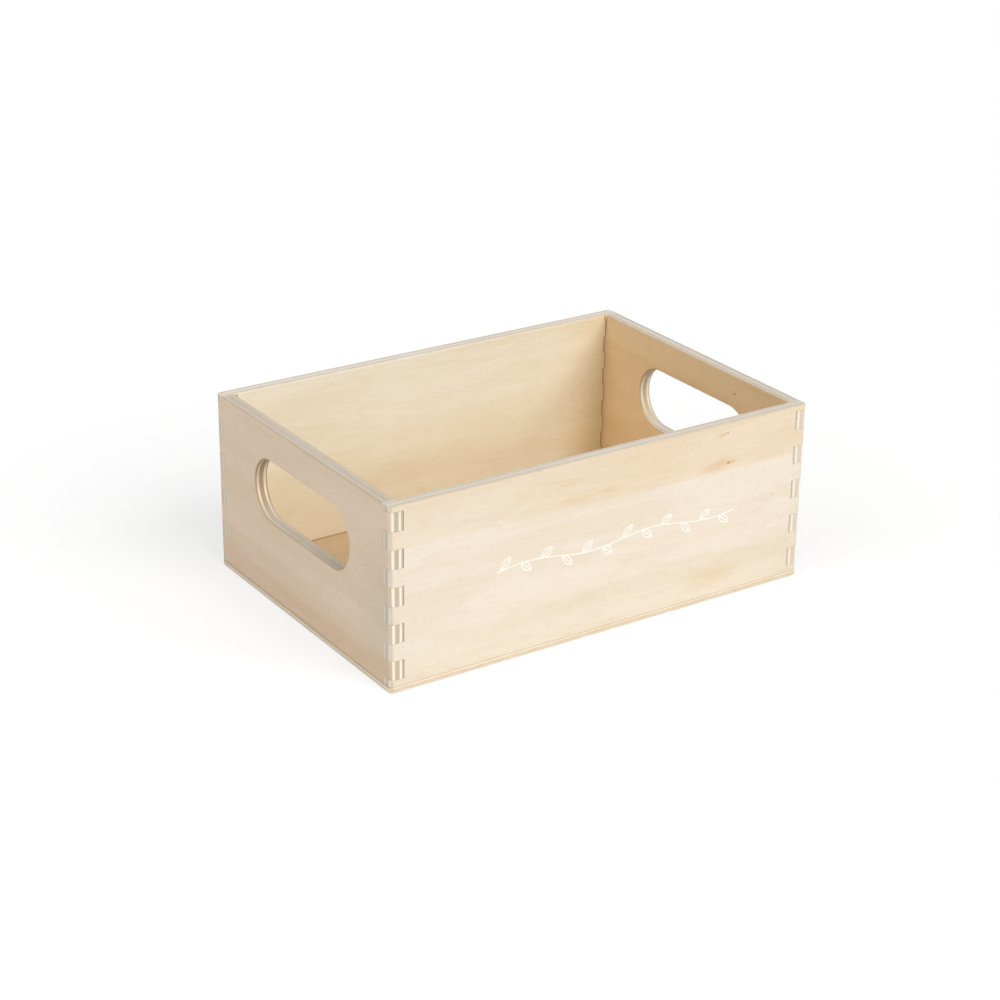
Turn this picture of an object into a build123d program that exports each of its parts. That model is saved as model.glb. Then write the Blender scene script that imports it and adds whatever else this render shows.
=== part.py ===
"""Small finger-jointed plywood crate with a hand slot in each end.

Four plywood walls are finger-jointed at the corners, and a thinner plywood sheet is
glued underneath as the bottom. The crate stands on z = 0 with the middle of its
footprint at the origin, its length along X and its width along Y.
"""

import os

from build123d import *

# Driving dimensions, in millimetres
length = 206
width = 142.5
height = 80
wall = 5.9  # plywood of the four walls
bottom_sheet = 2.8  # plywood of the bottom

finger_height = 8.1  # fingers of the end boards
finger_pitch = 15.9
finger_rise = 0.4  # the row of fingers stands this much above the middle of the wall
finger_margin = 2  # least wood left above and below the row of fingers
finger_clearance = 0.1  # gap on each flank of a finger
socket_clearance = 0.25  # gap between a finger and the inner end of its socket

slot_length = 78
slot_height = 28.1
slot_drop = 14.7  # from the rim down to the top of the hand slot
slot_shift = 1  # from the middle of the board towards the front

corner_radius = 2.4  # upright outer corners, sanded round after glueing
rim_radius = 0.6  # edges of the rim
slot_radius = 0.6  # edges of the hand slots
foot_radius = 0.6  # lower edge of the bottom sheet
seam_bevel = 0.2  # edges on either side of the glue line under the walls

# Sizes that follow from them
inner_length = length - 2 * wall
inner_width = width - 2 * wall
wall_height = height - bottom_sheet
wall_middle = bottom_sheet + wall_height / 2
slot_middle = height - slot_drop - slot_height / 2

finger_room = wall_height - 2 * finger_margin - finger_height
finger_count = int(finger_room / finger_pitch) + 1
lowest_finger = wall_middle + finger_rise - (finger_count - 1) * finger_pitch / 2
finger_levels = [lowest_finger + i * finger_pitch for i in range(finger_count)]


def long_board_outline():
    """Full-length board, with sockets at both ends for the fingers of the end boards."""
    socket_depth = wall + socket_clearance
    socket_middle = (length - socket_depth) / 2
    with Locations((0, wall_middle)):
        Rectangle(length, wall_height)
    with Locations([(side * socket_middle, level) for side in (-1, 1) for level in finger_levels]):
        Rectangle(socket_depth, finger_height + 2 * finger_clearance, mode=Mode.SUBTRACT)


def end_board_outline():
    """Board that fits between the long ones, with fingers through to their outer faces."""
    with Locations((0, wall_middle)):
        Rectangle(inner_width, wall_height)
    with Locations([(0, level) for level in finger_levels]):
        Rectangle(width, finger_height)
    with Locations((-slot_shift, slot_middle)):
        SlotOverall(slot_length, slot_height, mode=Mode.SUBTRACT)


def slot_edges(board):
    """Both rims of the hand slot, on the outer and the inner face of an end board."""
    flat_faces = board.faces().filter_by(Axis.X).sort_by(Face.area)[-2:]
    return [edge for face in flat_faces for wire in face.inner_wires() for edge in wire.edges()]


# The four walls as one form, as they stand once glued up and sanded.
# It isn't a piece of its own: each board takes its share of it.
with BuildPart() as sanded_walls:
    with BuildSketch(Plane.XY.offset(bottom_sheet)):
        RectangleRounded(length, width, corner_radius)
        Rectangle(inner_length, inner_width, mode=Mode.SUBTRACT)
    extrude(amount=wall_height)
    foot_face = sanded_walls.faces().sort_by(Axis.Z)[0]
    rim_face = sanded_walls.faces().sort_by(Axis.Z)[-1]
    chamfer(foot_face.outer_wire().edges(), seam_bevel)
    fillet(rim_face.edges(), rim_radius)

# Long walls
with BuildPart() as front_panel:
    with BuildSketch(Plane.XZ.offset(inner_width / 2)):
        long_board_outline()
    extrude(amount=wall)
    add(sanded_walls.part, mode=Mode.INTERSECT)

with BuildPart() as back_panel:
    with BuildSketch(Plane.XZ.offset(-width / 2)):
        long_board_outline()
    extrude(amount=wall)
    add(sanded_walls.part, mode=Mode.INTERSECT)

# End walls, with the hand slots
with BuildPart() as left_end:
    with BuildSketch(Plane.YZ.offset(-length / 2)):
        end_board_outline()
    extrude(amount=wall)
    fillet(slot_edges(left_end), slot_radius)
    add(sanded_walls.part, mode=Mode.INTERSECT)

with BuildPart() as right_end:
    with BuildSketch(Plane.YZ.offset(inner_length / 2)):
        end_board_outline()
    extrude(amount=wall)
    fillet(slot_edges(right_end), slot_radius)
    add(sanded_walls.part, mode=Mode.INTERSECT)

# Bottom, a full-size sheet under the walls
with BuildPart() as bottom_panel:
    with BuildSketch():
        RectangleRounded(length, width, corner_radius)
    extrude(amount=bottom_sheet)
    chamfer(bottom_panel.faces().sort_by(Axis.Z)[-1].edges(), seam_bevel)
    fillet(bottom_panel.faces().sort_by(Axis.Z)[0].edges(), foot_radius)

front_panel.part.label = "front_panel"
back_panel.part.label = "back_panel"
left_end.part.label = "left_end"
right_end.part.label = "right_end"
bottom_panel.part.label = "bottom_panel"

os.makedirs("parts", exist_ok=True)
export_step(front_panel.part, "parts/front_panel.step")
export_step(back_panel.part, "parts/back_panel.step")
export_step(left_end.part, "parts/left_end.step")
export_step(right_end.part, "parts/right_end.step")
export_step(bottom_panel.part, "parts/bottom_panel.step")
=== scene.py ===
import math

import bpy
from mathutils import Matrix, Vector


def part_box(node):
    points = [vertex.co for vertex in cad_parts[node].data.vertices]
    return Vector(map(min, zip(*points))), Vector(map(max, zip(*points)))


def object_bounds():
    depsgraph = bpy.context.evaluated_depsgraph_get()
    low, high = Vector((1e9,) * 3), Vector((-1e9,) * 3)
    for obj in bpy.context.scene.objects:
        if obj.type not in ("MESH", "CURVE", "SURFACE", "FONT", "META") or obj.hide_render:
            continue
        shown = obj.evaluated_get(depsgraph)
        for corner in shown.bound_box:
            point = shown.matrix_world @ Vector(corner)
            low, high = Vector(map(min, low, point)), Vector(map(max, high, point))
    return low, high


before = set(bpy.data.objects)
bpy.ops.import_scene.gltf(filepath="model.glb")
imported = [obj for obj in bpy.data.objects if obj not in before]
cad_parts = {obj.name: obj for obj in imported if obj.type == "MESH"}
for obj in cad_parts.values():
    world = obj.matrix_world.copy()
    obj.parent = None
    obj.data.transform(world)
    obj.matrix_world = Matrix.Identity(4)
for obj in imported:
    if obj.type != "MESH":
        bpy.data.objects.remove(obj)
cad_low, cad_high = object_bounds()

MM = 0.001

# The crate's own sizes in millimetres, from the parts in model.glb
LENGTH = (cad_high.x - cad_low.x) / MM
WIDTH = (cad_high.y - cad_low.y) / MM
LEFT_LOW, LEFT_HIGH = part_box("left_end")
BOTTOM_LOW, BOTTOM_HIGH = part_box("bottom_panel")
WALL = (LEFT_HIGH.x - LEFT_LOW.x) / MM
BOTTOM = (BOTTOM_HIGH.z - BOTTOM_LOW.z) / MM

# Where the fingers of the end boards come through the long boards, in millimetres
FINGER_PITCH = 15.9
FINGER_HEIGHT = 8.1
LOWEST_FINGER = 10.0


# ---------------------------------------------------------------- small helpers

def linear(colour):
    """An sRGB hex colour, such as "F4E7D0", as linear red, green, blue and a full alpha."""
    channels = [int(colour[i:i + 2], 16) / 255 for i in (0, 2, 4)]
    return [c / 12.92 if c <= 0.04045 else ((c + 0.055) / 1.055) ** 2.4 for c in channels] + [1.0]


def set_stops(ramp, stops, interpolation="LINEAR"):
    """Give a colour ramp its stops: places from 0 to 1, each with a grey from 0 to 1."""
    ramp.interpolation = interpolation
    while len(ramp.elements) < len(stops):
        ramp.elements.new(1.0)
    for element, (place, grey) in zip(ramp.elements, stops):
        element.position = place
        element.color = (grey, grey, grey, 1)


def add(tree, kind, settings=None, **inputs):
    """One node with its settings and links.

    An input is named as its socket is, with _ for a space, or _0, _1, _2 for its place among
    the sockets in use. Its value is a number, a hex colour, or a node or socket to link.
    A colour ramp's one setting is "stops", which holds the arguments of set_stops.
    """
    made = tree.nodes.new("ShaderNode" + kind)
    for name, value in (settings or {}).items():
        if name == "stops":
            set_stops(made.color_ramp, *value)
        else:
            setattr(made, name, value)
    sockets = [socket for socket in made.inputs if socket.enabled]
    for name, value in inputs.items():
        if name.startswith("_"):
            socket = sockets[int(name[1:])]
        else:
            socket = next(s for s in sockets if s.name == name.replace("_", " "))
        if isinstance(value, bpy.types.Node):
            value = next(output for output in value.outputs if output.enabled)
        if isinstance(value, bpy.types.NodeSocket):
            tree.links.new(value, socket)
        else:
            socket.default_value = linear(value) if isinstance(value, str) else value
    return made


def new_material(name):
    """A material with an empty node tree."""
    material = bpy.data.materials.new(name)
    material.use_nodes = True
    material.node_tree.nodes.clear()
    return material, material.node_tree


def compass(azimuth, elevation):
    """The direction at those degrees round from the front, and up from level."""
    a = math.radians(azimuth)
    e = math.radians(elevation)
    return Vector((math.sin(a) * math.cos(e), -math.cos(a) * math.cos(e), math.sin(e)))


# ---------------------------------------------------------------- patterns on a board
#
# Every board is drawn in board space, in millimetres. X runs along the board from its middle and
# Y is the depth below its outer face. Z is the height above what the crate stands on, or, on the
# bottom sheet, the way across it.

SMOOTH = {"interpolation_type": "SMOOTHSTEP"}


def board_space(tree, turn, outer_face):
    """Place and surface direction in board space, from the model's own coordinates."""
    coordinates = add(tree, "TexCoord")
    place = add(tree, "Mapping", None, Vector=coordinates.outputs["Object"], Scale=[1 / MM] * 3,
                Rotation=turn, Location=(0, outer_face, 0))
    facing = add(tree, "Mapping", {"vector_type": "VECTOR"}, Vector=coordinates.outputs["Normal"],
                 Rotation=turn)
    return place, facing


def streaks(tree, place, seed, length, width, shift=0.0, detail=2.0, roughness=0.5):
    """Soft noise drawn out along X, in patches length by width mm. Each seed is another board."""
    away = seed + shift
    # a different share along each axis, so that no two features line up
    stretched = add(tree, "Mapping", None, Vector=place, Location=(away, away * 0.7, away * 1.3),
                    Scale=(1 / length, 1 / width, 1 / width))
    return add(tree, "TexNoise", None, Vector=stretched, Scale=1.0, Detail=detail, Roughness=roughness)


def spot(tree, place, centre, size, tilt=0.0, soft=0.5):
    """An oval on the board's face, 1 inside it and 0 outside.

    Its centre and half sizes are X and Z in mm, and its tilt is in degrees. It fades over its
    softness, as a share of its size, to each side of its outline.
    """
    local = add(tree, "Mapping", {"vector_type": "TEXTURE"}, Vector=place,
                Location=(centre[0], 0, centre[1]), Rotation=(0, -math.radians(tilt), 0),
                Scale=(size[0], 1, size[1]))
    flat = add(tree, "VectorMath", {"operation": "MULTIPLY"}, _0=local, _1=(1, 0, 1))
    reach = add(tree, "VectorMath", {"operation": "LENGTH"}, _0=flat)
    return add(tree, "MapRange", SMOOTH, Value=reach.outputs["Value"],
               From_Min=1 - soft, From_Max=1 + soft, To_Min=1.0, To_Max=0.0)


def band(tree, place, level, slope=0.0, soft=0.6, wander=0.8):
    """1 above a gently wandering line along the board at that level in mm, and 0 below it."""
    parts = add(tree, "SeparateXYZ", None, Vector=place)
    wave = streaks(tree, place, level, 45, 400, detail=1.0)
    line = add(tree, "Math", {"operation": "MULTIPLY_ADD"},
               _0=parts.outputs["X"], _1=-slope, _2=parts.outputs["Z"])
    line = add(tree, "Math", {"operation": "MULTIPLY_ADD"}, _0=wave, _1=2 * wander, _2=line)
    return add(tree, "MapRange", SMOOTH, Value=line,
               From_Min=level + wander - soft, From_Max=level + wander + soft)


def fade_along(tree, place, axis, start, end, before=0.0, after=1.0):
    """A smooth fade along one axis of the board, from a value before start to one after end."""
    parts = add(tree, "SeparateXYZ", None, Vector=place)
    return add(tree, "MapRange", SMOOTH, Value=parts.outputs[axis],
               From_Min=start, From_Max=end, To_Min=before, To_Max=after)


def tint(tree, colour, factor, shade):
    """The colour, multiplied by a shade where the factor is 1."""
    return add(tree, "Mix", {"data_type": "RGBA", "blend_type": "MULTIPLY"},
               _0=factor, _1=colour, _2=shade)


# ---------------------------------------------------------------- marks in the veneers
#
# Each function gives one veneer's marks, as shades and where they are. Places are in mm.

SEAM_SHADE = "CDAE90"
SEAM_STEP = 0.9  # how far the joint's line steps out between two fingers
SEAM_INSET = 0.1  # how far it is from the inner face of the end board
SEAM_DARK = 0.2  # half the width of its darkest part
SEAM_EDGE = 0.5  # half its width where it has faded out
FLOOR_SEAM_DARK = 0.4  # how high its darkest part reaches on a wall, above the bottom sheet
FLOOR_SEAM_EDGE = 0.8  # where it has faded out


def no_marks(tree, place):
    return []


def floor_seam(tree, place):
    """A dark hairline of glue along the foot of a wall, where it meets the bottom."""
    return fade_along(tree, place, "Z", BOTTOM + FLOOR_SEAM_DARK, BOTTOM + FLOOR_SEAM_EDGE,
                      before=1.0, after=0.0)


def corner_seam(tree, place):
    """A dark dashed line up each inner corner: beside the fingers, and a little out between them."""
    parts = add(tree, "SeparateXYZ", None, Vector=place)
    reach = add(tree, "Math", {"operation": "ABSOLUTE"}, _0=parts.outputs["X"])
    level = add(tree, "Math", {"operation": "SUBTRACT"}, _0=parts.outputs["Z"], _1=LOWEST_FINGER)
    off_finger = add(tree, "Math", {"operation": "PINGPONG"}, _0=level, _1=FINGER_PITCH / 2)
    between = add(tree, "Math", {"operation": "GREATER_THAN"}, _0=off_finger, _1=FINGER_HEIGHT / 2)
    inner_end = LENGTH / 2 - WALL
    line = add(tree, "Math", {"operation": "MULTIPLY_ADD"},
               _0=between, _1=-SEAM_STEP, _2=inner_end - SEAM_INSET)
    off = add(tree, "Math", {"operation": "SUBTRACT"}, _0=reach, _1=line)
    off = add(tree, "Math", {"operation": "ABSOLUTE"}, _0=off)
    return add(tree, "MapRange", SMOOTH, Value=off,
               From_Min=SEAM_DARK, From_Max=SEAM_EDGE, To_Min=1.0, To_Max=0.0)


def end_wall_seams(tree, place):
    return [(SEAM_SHADE, floor_seam(tree, place))]


def long_wall_seams(tree, place):
    return [(SEAM_SHADE, corner_seam(tree, place)), (SEAM_SHADE, floor_seam(tree, place))]


def front_marks(tree, place):
    """The front veneer: a band of heartwood along the top with darker streaks, pin knots, and a painted
    shade along its foot.
    """
    foot = fade_along(tree, place, "Z", 12.0, 34.0, before=1.0, after=0.0)
    heart = band(tree, place, 60.0, slope=-0.017)
    towards_right = fade_along(tree, place, "X", -40.0, 20.0)
    wisps = streaks(tree, place, 41.0, 26, 3.0, detail=3.0)
    wisps = add(tree, "MapRange", SMOOTH, Value=wisps, From_Min=0.42, From_Max=0.68)
    slant = spot(tree, place, (-16, 66.5), (26, 4.5), tilt=-14, soft=0.6)
    return [
        # painted shade: a little darker along the foot
        ("FAFAF6", foot),
        ("FEFBF5", heart),
        ("FEFAF4", add(tree, "Math", {"operation": "MULTIPLY"}, _0=heart, _1=towards_right)),
        ("FBF0E2", add(tree, "Math", {"operation": "MULTIPLY"}, _0=slant, _1=wisps)),
        # the lower pin knot, with a stain to each side of it
        ("F8EADC", spot(tree, place, (55.5, 62.2), (6.5, 2.0), tilt=6, soft=0.8)),
        ("F3DDC0", spot(tree, place, (63.2, 62.2), (2.2, 0.6), soft=0.8)),
        ("B58A62", spot(tree, place, (61.3, 62.2), (0.5, 0.4), soft=0.6)),
        # the fainter one near the rim
        ("F6E8D6", spot(tree, place, (58, 75.4), (2.6, 0.6), tilt=8, soft=0.8)),
        ("D9B794", spot(tree, place, (60.4, 75.8), (0.4, 0.3), soft=0.6)),
        # a warm patch near the foot
        ("FDF5E8", spot(tree, place, (55, 11), (14, 3.5), soft=0.9)),
    ]


def left_marks(tree, place):
    """The left veneer is darker and redder along its foot, a painted shade, and greyer towards the front
    corner.
    """
    above_foot = band(tree, place, 12.5, soft=2.5)
    return [
        # painted shade: darker and redder along the foot
        ("FBF4EE", add(tree, "Math", {"operation": "SUBTRACT"}, _0=1.0, _1=above_foot)),
        ("F5F7F7", spot(tree, place, (66, 24), (15, 30), soft=0.8)),
    ]


def inner_back_shade_and_seams(tree, place):
    """The back's inner veneer is darker and warmer towards its foot and its right-hand corner: painted shade
    of the front wall and the right end, with warm bounced light.
    """
    return [
        # painted shade of the front wall: darker and warmer towards the foot
        ("FAF5EA", fade_along(tree, place, "Z", 20.0, 62.0, before=1.0, after=0.0)),
        # painted shade of the right end, with its warm bounced light, towards the right-hand corner
        ("FBF2E0", fade_along(tree, place, "X", -98.0, -62.0, before=1.0, after=0.0)),
    ] + long_wall_seams(tree, place)


def inner_right_marks(tree, place):
    """The right end's inner veneer is more orange up to above the hand slot, with one speck."""
    above_slot = band(tree, place, 67.5, soft=1.5)
    return [
        ("FBF7F4", add(tree, "Math", {"operation": "SUBTRACT"}, _0=1.0, _1=above_slot)),
        ("B08A62", spot(tree, place, (-30, 72), (0.6, 0.4), soft=0.6)),
    ] + end_wall_seams(tree, place)


# ---------------------------------------------------------------- the printed sprig

INK = "F1EFEC"
INK_COVER = 0.75  # the ink is thin, so a little of the grain shows through it
INK_DEPTH = 0.3  # it is on the outer face only
STROKE = 0.24  # half the width of a line
STROKE_FADE = 0.1
SPRIG_START = -54.0
SPRIG_END = 66.0
STEM_LEVEL = 40.5
STEM_SWAY = 1.6
STEM_WAVE = 61.0
LEAF_PITCH = 10.0
LEAF_START = 1.5  # from the start of each pitch
LEAF_LENGTH = 6.8
LEAF_HALF_WIDTH = 1.5
LEAF_TILT = math.radians(40)
LEAF_TIP = 0.005  # the share of a leaf that is left out at each end
OUT_OF_REACH = 9.0


def stem_offset(tree, along, height):
    """How far a place is above the stem, which sways gently on its way along the board."""
    turns = add(tree, "Math", {"operation": "MULTIPLY"}, _0=along, _1=2 * math.pi / STEM_WAVE)
    wave = add(tree, "Math", {"operation": "SINE"}, _0=turns)
    stem = add(tree, "Math", {"operation": "MULTIPLY_ADD"}, _0=wave, _1=STEM_SWAY, _2=STEM_LEVEL)
    return add(tree, "Math", {"operation": "SUBTRACT"}, _0=height, _1=stem)


def leaf_distance(tree, along, above):
    """How far a place is from the nearest leaf's outline or vein."""
    # leaves stand on alternate sides: at every second one the picture is turned over
    cell = add(tree, "Math", {"operation": "DIVIDE"}, _0=along, _1=LEAF_PITCH)
    in_cell = add(tree, "Math", {"operation": "FRACT"}, _0=cell)
    side = add(tree, "Math", {"operation": "FLOOR"}, _0=cell)
    side = add(tree, "Math", {"operation": "FLOORED_MODULO"}, _0=side, _1=2.0)
    side = add(tree, "Math", {"operation": "MULTIPLY_ADD"}, _0=side, _1=-2.0, _2=1.0)
    out = add(tree, "Math", {"operation": "MULTIPLY"}, _0=above, _1=side)
    ahead = add(tree, "Math", {"operation": "MULTIPLY_ADD"},
                _0=in_cell, _1=LEAF_PITCH, _2=-LEAF_START)
    local = add(tree, "CombineXYZ", None, X=ahead, Y=out)
    local = add(tree, "Mapping", None, Vector=local, Rotation=(0, 0, -LEAF_TILT))
    leaf = add(tree, "SeparateXYZ", None, Vector=local)
    # each leaf is an arch of a sine wave and its mirror image, with a straight vein
    share = add(tree, "Math", {"operation": "DIVIDE", "use_clamp": True},
                _0=leaf.outputs["X"], _1=LEAF_LENGTH)
    arch = add(tree, "Math", {"operation": "MULTIPLY"}, _0=share, _1=math.pi)
    arch = add(tree, "Math", {"operation": "SINE"}, _0=arch)
    vein = add(tree, "Math", {"operation": "ABSOLUTE"}, _0=leaf.outputs["Y"])
    outline = add(tree, "Math", {"operation": "MULTIPLY_ADD"}, _0=arch, _1=-LEAF_HALF_WIDTH, _2=vein)
    outline = add(tree, "Math", {"operation": "ABSOLUTE"}, _0=outline)
    nearest = add(tree, "Math", {"operation": "MINIMUM"}, _0=outline, _1=vein)
    # outside the leaf's length only a point is left of it, so it is pushed out of reach
    in_leaf = add(tree, "Math", {"operation": "COMPARE"}, _0=share, _1=0.5, _2=0.5 - LEAF_TIP)
    push = add(tree, "Math", {"operation": "MULTIPLY_ADD"},
               _0=in_leaf, _1=-OUT_OF_REACH, _2=OUT_OF_REACH)
    return add(tree, "Math", {"operation": "ADD"}, _0=nearest, _1=push)


def sprig(tree, place, wood):
    """The wood's colour with a plain leafy sprig over it, screen-printed in thin white ink."""
    parts = add(tree, "SeparateXYZ", None, Vector=place)
    along = add(tree, "Math", {"operation": "SUBTRACT"}, _0=parts.outputs["X"], _1=SPRIG_START)
    above = stem_offset(tree, along, parts.outputs["Z"])
    stem = add(tree, "Math", {"operation": "ABSOLUTE"}, _0=above)
    line = add(tree, "Math", {"operation": "MINIMUM"}, _0=leaf_distance(tree, along, above), _1=stem)
    ink = add(tree, "MapRange", SMOOTH, Value=line, From_Min=STROKE - STROKE_FADE,
              From_Max=STROKE + STROKE_FADE, To_Min=INK_COVER, To_Max=0.0)
    in_length = add(tree, "Math", {"operation": "COMPARE"}, _0=parts.outputs["X"],
                    _1=(SPRIG_START + SPRIG_END) / 2, _2=(SPRIG_END - SPRIG_START) / 2)
    ink = add(tree, "Math", {"operation": "MULTIPLY"}, _0=ink, _1=in_length)
    outer = add(tree, "Math", {"operation": "LESS_THAN"}, _0=parts.outputs["Y"], _1=INK_DEPTH)
    ink = add(tree, "Math", {"operation": "MULTIPLY"}, _0=ink, _1=outer)
    return add(tree, "Mix", {"data_type": "RGBA"}, _0=ink, _1=wood, _2=INK)


# ---------------------------------------------------------------- plywood
#
# The plies are layers in Y. Grain runs along X in the face veneers and the core, and along Z in
# the cross plies between them. Where a cut meets the fibres end on it shows end grain, which is
# darker. So the rims, the finger ends, the slot edges and the rounded arrises all show the plies
# that are really there.

# Each ply by how far from the middle of the board it starts, in mm, and whether it is a cross ply
WALL_PLIES = [(0.0, False), (1.0, True), (2.15, False)]
BOTTOM_PLIES = [(0.0, True), (0.65, False)]
# a glue line is about 0.05 mm thick; it is drawn at 0.2 mm, or it would not show
GLUE_HALF = 0.1
# the veneers aren't perfectly flat, so their edges wander by up to a quarter of a millimetre
PLY_WANDER = 0.25

# The wood's features, by their length along the grain and width across it in mm
PLY_RIPPLE = {"length": 22, "width": 22, "shift": 3.1, "detail": 1.0}
RING_HILLS = {"length": 105, "width": 15, "detail": 2.6}
CLOUDS = {"length": 75, "width": 10, "shift": 9.9, "detail": 3.0}
# fibres are about 0.03 mm wide and pores 0.05 mm; both are drawn coarser, or they would not show
FIBRES = {"length": 14, "width": 0.5, "shift": 1.7, "detail": 3.0, "roughness": 0.6}
PORES = {"length": 2.6, "width": 0.28, "shift": 5.3}
# end grain is cut straws, seen as fine specks of about a third of a millimetre
SPECKS = {"length": 0.35, "width": 0.35, "shift": 2.2, "detail": 1.0}

RING_COUNT = 15.0  # contour lines over the full height of the rolling surface
RING_PROFILE = [(0.0, 0.0), (0.55, 0.3), (0.86, 1.0), (1.0, 0.0)]
RING_STRENGTH = 0.35
PORE_STRENGTH = 0.5
GLUE_STRENGTH = 0.35

RING_SHADE = "F7F1E6"
CLOUD_SHADE = "FAF8F2"
FIBRE_SHADE = "FBF9F4"
PORE_SHADE = "E8DDD0"
GLUE_SHADE = "D2C6B6"
SPECK_SHADE = "EAE3DC"
# painted shade and warm bounced light at the ends of the hand slots
SLOT_END_PAINTED_SHADE = "F8E2BC"
# painted shade on the rounded arrises along the rims
ARRIS_PAINTED_SHADE = "F0E8E0"

SLOT_REACH = 50.0  # mm from the board's middle: past a hand slot's ends, short of the board's
SMOOTHEST = 0.55
ROUGHEST = 0.7
END_GRAIN_ROUGHER = 0.12
BUMP_STRENGTH = 0.35
BUMP_DEPTH = 0.06  # from the crest of a fibre to the foot of a pore
BARE_WOOD_IOR = 1.5


def ply_layers(tree, depth, thickness, plies):
    """Which plies the depth is in: a mask of the cross plies, and one of the glue lines."""
    half = thickness / 2
    middle = add(tree, "Math", {"operation": "SUBTRACT"}, _0=depth, _1=half)
    middle = add(tree, "Math", {"operation": "ABSOLUTE"}, _0=middle)
    share = add(tree, "Math", {"operation": "DIVIDE"}, _0=middle, _1=half)
    cross_stops = [(start / half, 1.0 if is_cross else 0.0) for start, is_cross in plies]
    cross = add(tree, "ValToRGB", {"stops": (cross_stops, "CONSTANT")}, Fac=share)
    glue_stops = [(0.0, 0.0)]
    for start, _ in plies[1:]:
        glue_stops += [
            ((start - GLUE_HALF) / half, 0.0),
            (start / half, 1.0),
            ((start + GLUE_HALF) / half, 0.0),
        ]
    glue = add(tree, "ValToRGB", {"stops": (glue_stops,)}, Fac=share)
    return cross, glue


def face_veneers(tree, place, depth, thickness, tones, outer_marks, inner_marks):
    """The outer veneer's colour, or the inner one's past the board's middle, with their marks."""
    inside = add(tree, "Math", {"operation": "GREATER_THAN"}, _0=depth, _1=thickness / 2)
    outside = add(tree, "Math", {"operation": "SUBTRACT"}, _0=1.0, _1=inside)
    veneer = add(tree, "Mix", {"data_type": "RGBA"}, _0=inside, _1=tones["outer"], _2=tones["inner"])
    for marks, other_side in ((outer_marks, inside), (inner_marks, outside)):
        for shade, mask in marks(tree, place):
            here_only = add(tree, "Math", {"operation": "SUBTRACT", "use_clamp": True},
                            _0=mask, _1=other_side)
            veneer = tint(tree, veneer, here_only, shade)
    return veneer


def figured(tree, colour, grain, fibre, pore, seed):
    """The colour with growth rings, clouds, fibres and pores."""
    # a rotary cut shows the rings as the contour lines of a long, gently rolling surface
    hills = streaks(tree, grain, seed, **RING_HILLS)
    rings = add(tree, "Math", {"operation": "MULTIPLY"}, _0=hills, _1=RING_COUNT)
    rings = add(tree, "Math", {"operation": "FRACT"}, _0=rings)
    rings = add(tree, "ValToRGB", {"stops": (RING_PROFILE,)}, Fac=rings)
    rings = add(tree, "Math", {"operation": "MULTIPLY"}, _0=rings, _1=RING_STRENGTH)
    cloud = streaks(tree, grain, seed, **CLOUDS)
    cloud = add(tree, "MapRange", SMOOTH, Value=cloud, From_Min=0.35, From_Max=0.65)
    pore = add(tree, "Math", {"operation": "MULTIPLY"}, _0=pore, _1=PORE_STRENGTH)
    for mask, shade in ((rings, RING_SHADE), (cloud, CLOUD_SHADE), (fibre, FIBRE_SHADE), (pore, PORE_SHADE)):
        colour = tint(tree, colour, mask, shade)
    return colour


def painted_slot_and_arris_shade(tree, colour, along, square_on, cross):
    """The colour with painted shade at the ends of the hand slots and on the rounded arrises."""
    # painted shade: the ends of the hand slots are browner, standing in for the shade and the warm light
    # bounced inside them
    from_middle = add(tree, "Math", {"operation": "ABSOLUTE"}, _0=along)
    painted_slot_shade = add(tree, "Math", {"operation": "LESS_THAN"}, _0=from_middle, _1=SLOT_REACH)
    across = add(tree, "Math", {"operation": "SUBTRACT", "use_clamp": True},
                 _0=square_on.outputs["X"], _1=cross)
    painted_slot_shade = add(tree, "Math", {"operation": "MULTIPLY"}, _0=painted_slot_shade, _1=across)
    colour = tint(tree, colour, painted_slot_shade, SLOT_END_PAINTED_SHADE)
    # painted shade: the rounded arrises along the rims are darkened against the light they catch; the
    # product of the two directions is a half at 45 degrees, so it is doubled
    arris = add(tree, "Math", {"operation": "MULTIPLY"},
                _0=square_on.outputs["Y"], _1=square_on.outputs["Z"])
    arris = add(tree, "Math", {"operation": "MULTIPLY"}, _0=arris, _1=2.0)
    return tint(tree, colour, arris, ARRIS_PAINTED_SHADE)


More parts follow.
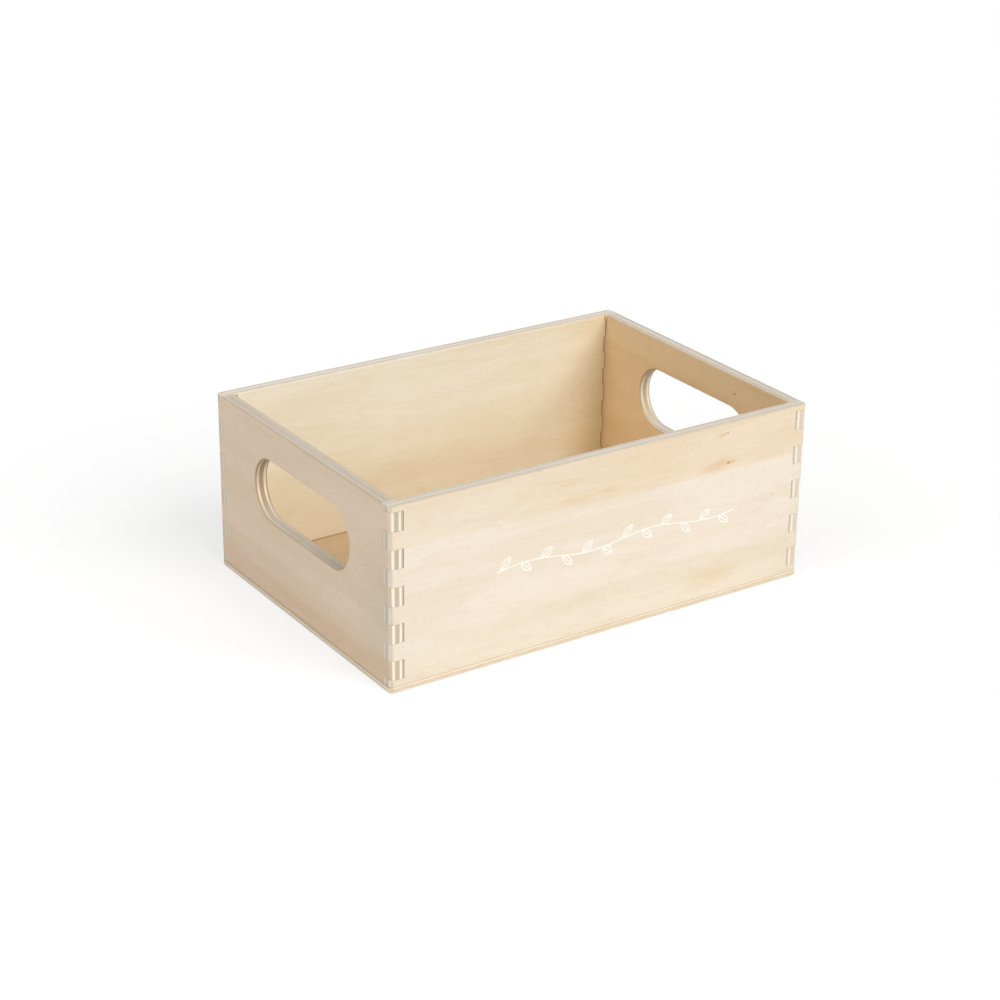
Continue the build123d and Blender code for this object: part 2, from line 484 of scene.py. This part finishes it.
def plywood(name, node, turn, outer_face, sheet, tones, seed,
            outer_marks=no_marks, inner_marks=no_marks, printing=None):
    """Basswood plywood, rotary-cut, sanded and left bare: pale and matt, with faint wavy rings."""
    thickness, plies = sheet
    material, tree = new_material(name)
    place, facing = board_space(tree, turn, outer_face)
    here = add(tree, "SeparateXYZ", None, Vector=place)
    square_on = add(tree, "VectorMath", {"operation": "ABSOLUTE"}, _0=facing)
    square_on = add(tree, "SeparateXYZ", None, Vector=square_on)

    ripple = streaks(tree, place, seed, **PLY_RIPPLE)
    depth = add(tree, "Math", {"operation": "MULTIPLY_ADD"},
                _0=ripple, _1=2 * PLY_WANDER, _2=here.outputs["Y"])
    depth = add(tree, "Math", {"operation": "SUBTRACT"}, _0=depth, _1=PLY_WANDER)
    cross, glue = ply_layers(tree, depth, thickness, plies)

    # grain direction: along the board, or up it in a cross ply
    upright = add(tree, "CombineXYZ", None,
                  X=here.outputs["Z"], Y=here.outputs["Y"], Z=here.outputs["X"])
    grain = add(tree, "Mix", {"data_type": "VECTOR"}, _0=cross, _1=place, _2=upright)
    cut = add(tree, "Mix", {"data_type": "FLOAT"},
              _0=cross, _1=square_on.outputs["X"], _2=square_on.outputs["Z"])
    end_grain = add(tree, "MapRange", SMOOTH, Value=cut, From_Min=0.3, From_Max=0.85)
    on_face = add(tree, "MapRange", SMOOTH, Value=square_on.outputs["Y"], From_Min=0.45, From_Max=0.9)
    off_face = add(tree, "Math", {"operation": "SUBTRACT"}, _0=1.0, _1=on_face)

    fibre = streaks(tree, grain, seed, **FIBRES)
    pore = streaks(tree, grain, seed, **PORES)
    pore = add(tree, "MapRange", SMOOTH, Value=pore, From_Min=0.6, From_Max=0.76)
    speck = streaks(tree, place, seed, **SPECKS)
    speck = add(tree, "Math", {"operation": "MULTIPLY"}, _0=speck, _1=end_grain)

    # the colour of the ply that is cut here; a face veneer's own tone shows on its face alone
    veneer = face_veneers(tree, place, depth, thickness, tones, outer_marks, inner_marks)
    edge = add(tree, "Mix", {"data_type": "RGBA"}, _0=cross, _1=tones["core"], _2=tones["cross"])
    colour = add(tree, "Mix", {"data_type": "RGBA"}, _0=on_face, _1=edge, _2=veneer)
    colour = figured(tree, colour, grain, fibre, pore, seed)
    end_shade = add(tree, "Mix", {"data_type": "RGBA"},
                    _0=cross, _1=tones["core_end"], _2=tones["cross_end"])
    colour = tint(tree, colour, end_grain, end_shade)
    # painted shade at the ends of the hand slots and on the rounded arrises
    colour = painted_slot_and_arris_shade(tree, colour, here.outputs["X"], square_on, cross)
    glue = add(tree, "Math", {"operation": "MULTIPLY"}, _0=glue, _1=off_face)
    glue = add(tree, "Math", {"operation": "MULTIPLY"}, _0=glue, _1=GLUE_STRENGTH)
    colour = tint(tree, colour, glue, GLUE_SHADE)
    colour = tint(tree, colour, speck, SPECK_SHADE)
    if printing:
        colour = printing(tree, place, colour)

    # sanded wood is matt, and end grain more so; the fibres stand a little proud of the pores
    rough = add(tree, "MapRange", None, Value=fibre, To_Min=SMOOTHEST, To_Max=ROUGHEST)
    rough = add(tree, "Math", {"operation": "MULTIPLY_ADD"},
                _0=end_grain, _1=END_GRAIN_ROUGHER, _2=rough)
    lift = add(tree, "Math", {"operation": "SUBTRACT"}, _0=fibre, _1=pore)
    lift = add(tree, "Math", {"operation": "SUBTRACT"}, _0=lift, _1=speck)
    bump = add(tree, "Bump", None, Height=lift, Strength=BUMP_STRENGTH, Distance=BUMP_DEPTH * MM)
    shader = add(tree, "BsdfPrincipled", None, Base_Color=colour, Roughness=rough, Normal=bump,
                 IOR=BARE_WOOD_IOR)
    add(tree, "OutputMaterial", None, Surface=shader)

    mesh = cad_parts[node].data
    mesh.materials.clear()
    mesh.materials.append(material)


# Each board was cut from its own sheet, so its faces and plies have their own tones. The shades
# at the ends darken the core and the cross plies where their fibres are cut across.
FRONT_TONES = {
    "outer": "DFD4C7", "inner": "DEC6A4",
    "core": "DED6CB", "cross": "DDD6CE", "core_end": "FCF7F2", "cross_end": "FFFFFF",
}
BACK_TONES = {
    "outer": "DDD2C5", "inner": "EBE3D2",
    "core": "E4DED4", "cross": "E2DCD5", "core_end": "F6F0E9", "cross_end": "FAF9F8",
}
LEFT_TONES = {
    "outer": "E0CDB9", "inner": "E2C6A4",
    "core": "C6BDB1", "cross": "E7E1D7", "core_end": "FEFBF5", "cross_end": "EFEDEC",
}
RIGHT_TONES = {
    "outer": "E0CEBB", "inner": "E9CFA6",
    "core": "D7D1C8", "cross": "E4DED4", "core_end": "FFFDF9", "cross_end": "EBE8E8",
}
BOTTOM_TONES = {
    "outer": "E0CEBB", "inner": "CEB694",
    "core": "E6DECE", "cross": "E6DECE", "core_end": "F0E8E0", "cross_end": "F1E9E4",
}

QUARTER = math.radians(90)
WALL_SHEET = (WALL, WALL_PLIES)
BOTTOM_SHEET = (BOTTOM, BOTTOM_PLIES)

plywood("basswood_plywood_front", "front_panel", (0, 0, 0), WIDTH / 2, WALL_SHEET, FRONT_TONES,
        seed=11.0, outer_marks=front_marks, inner_marks=long_wall_seams, printing=sprig)
plywood("basswood_plywood_back", "back_panel", (0, 0, 2 * QUARTER), WIDTH / 2, WALL_SHEET, BACK_TONES,
        seed=23.0, inner_marks=inner_back_shade_and_seams)
plywood("basswood_plywood_left", "left_end", (0, 0, QUARTER), LENGTH / 2, WALL_SHEET, LEFT_TONES,
        seed=37.0, outer_marks=left_marks, inner_marks=end_wall_seams)
plywood("basswood_plywood_right", "right_end", (0, 0, -QUARTER), LENGTH / 2, WALL_SHEET, RIGHT_TONES,
        seed=53.0, inner_marks=inner_right_marks)
plywood("basswood_plywood_bottom", "bottom_panel", (-QUARTER, 0, 0), 0.0, BOTTOM_SHEET, BOTTOM_TONES,
        seed=71.0)


# ---------------------------------------------------------------- room, light and camera

WHITE = "FFFFFF"
PAPER = "EDEDED"
BURNT_PAPER = "A2A2A2"
FLOOR_SIZE = 12  # metres

# Where the camera stands, in degrees and metres, and its lens and sensor in millimetres
CAMERA_AZIMUTH = -33.88
CAMERA_ELEVATION = 23.73
CAMERA_ROLL = 0.78
CAMERA_DISTANCE = 1.00437
CAMERA_AIM = Vector((-0.01254, -0.01118, 0.040))
CAMERA_LENS = 85.39
CAMERA_SENSOR = 36


def floor_sheet():
    """A wide sheet of white paper. Seen directly it is burnt out to white, as a studio sweep is."""
    bpy.ops.mesh.primitive_plane_add(size=FLOOR_SIZE, location=(0, 0, 0))
    sheet = bpy.context.object
    sheet.name = "paper_floor"
    material, tree = new_material("white_paper")
    plain = add(tree, "BsdfPrincipled", None, Base_Color=PAPER, Roughness=0.9, Specular_IOR_Level=0.0)
    burnt = add(tree, "BsdfPrincipled", None, Base_Color=BURNT_PAPER, Roughness=0.9,
                Specular_IOR_Level=0.0, Emission_Color=WHITE, Emission_Strength=0.65)
    path = add(tree, "LightPath")
    either = add(tree, "MixShader", None, _0=path.outputs["Is Camera Ray"], _1=plain, _2=burnt)
    add(tree, "OutputMaterial", None, Surface=either)
    sheet.data.materials.append(material)


def room_light(strength):
    """Even white light from all round. Seen directly or in a reflection it is plain white."""
    world = bpy.data.worlds.new("white_room")
    bpy.context.scene.world = world
    world.use_nodes = True
    tree = world.node_tree
    tree.nodes.clear()
    path = add(tree, "LightPath")
    seen = add(tree, "Math", {"operation": "MAXIMUM"}, _0=path.outputs["Is Camera Ray"],
               _1=path.outputs["Is Glossy Ray"])
    bright = add(tree, "MapRange", None, Value=seen, To_Min=strength, To_Max=1.0)
    background = add(tree, "Background", None, Color=WHITE, Strength=bright)
    add(tree, "OutputWorld", None, Surface=background)


def soft_lamp(name, azimuth, elevation, spread, strength):
    """A large soft lamp, far off, placed by compass direction, height and apparent size."""
    away = compass(azimuth, elevation)
    lamp = bpy.data.lights.new(name, "SUN")
    lamp.energy = strength
    lamp.angle = math.radians(spread)
    holder = bpy.data.objects.new(name, lamp)
    holder.location = away
    holder.rotation_mode = "QUATERNION"
    holder.rotation_quaternion = (-away).to_track_quat("-Z", "Y")
    bpy.context.scene.collection.objects.link(holder)


def crate_camera():
    """The camera, set by the three directions of its own axes and its place."""
    back = compass(CAMERA_AZIMUTH, CAMERA_ELEVATION)
    level = Vector((0, 0, 1)).cross(back).normalized()
    upright = back.cross(level)
    roll = math.radians(CAMERA_ROLL)
    right = level * math.cos(roll) + upright * math.sin(roll)
    up = upright * math.cos(roll) - level * math.sin(roll)
    camera = bpy.data.cameras.new("camera")
    camera.sensor_width = CAMERA_SENSOR
    camera.lens = CAMERA_LENS
    holder = bpy.data.objects.new("camera", camera)
    bpy.context.scene.collection.objects.link(holder)
    rows = [[right[i], up[i], back[i], CAMERA_AIM[i] + back[i] * CAMERA_DISTANCE] for i in range(3)]
    holder.matrix_world = Matrix(rows + [[0, 0, 0, 1]])
    bpy.context.scene.camera = holder


bpy.context.scene.view_settings.view_transform = "Standard"
bpy.ops.object.select_all(action="DESELECT")
floor_sheet()
room_light(strength=0.26)
soft_lamp("key_light", azimuth=15, elevation=38, spread=45, strength=2.67)
soft_lamp("left_fill", azimuth=-82, elevation=36, spread=45, strength=1.13)
crate_camera()
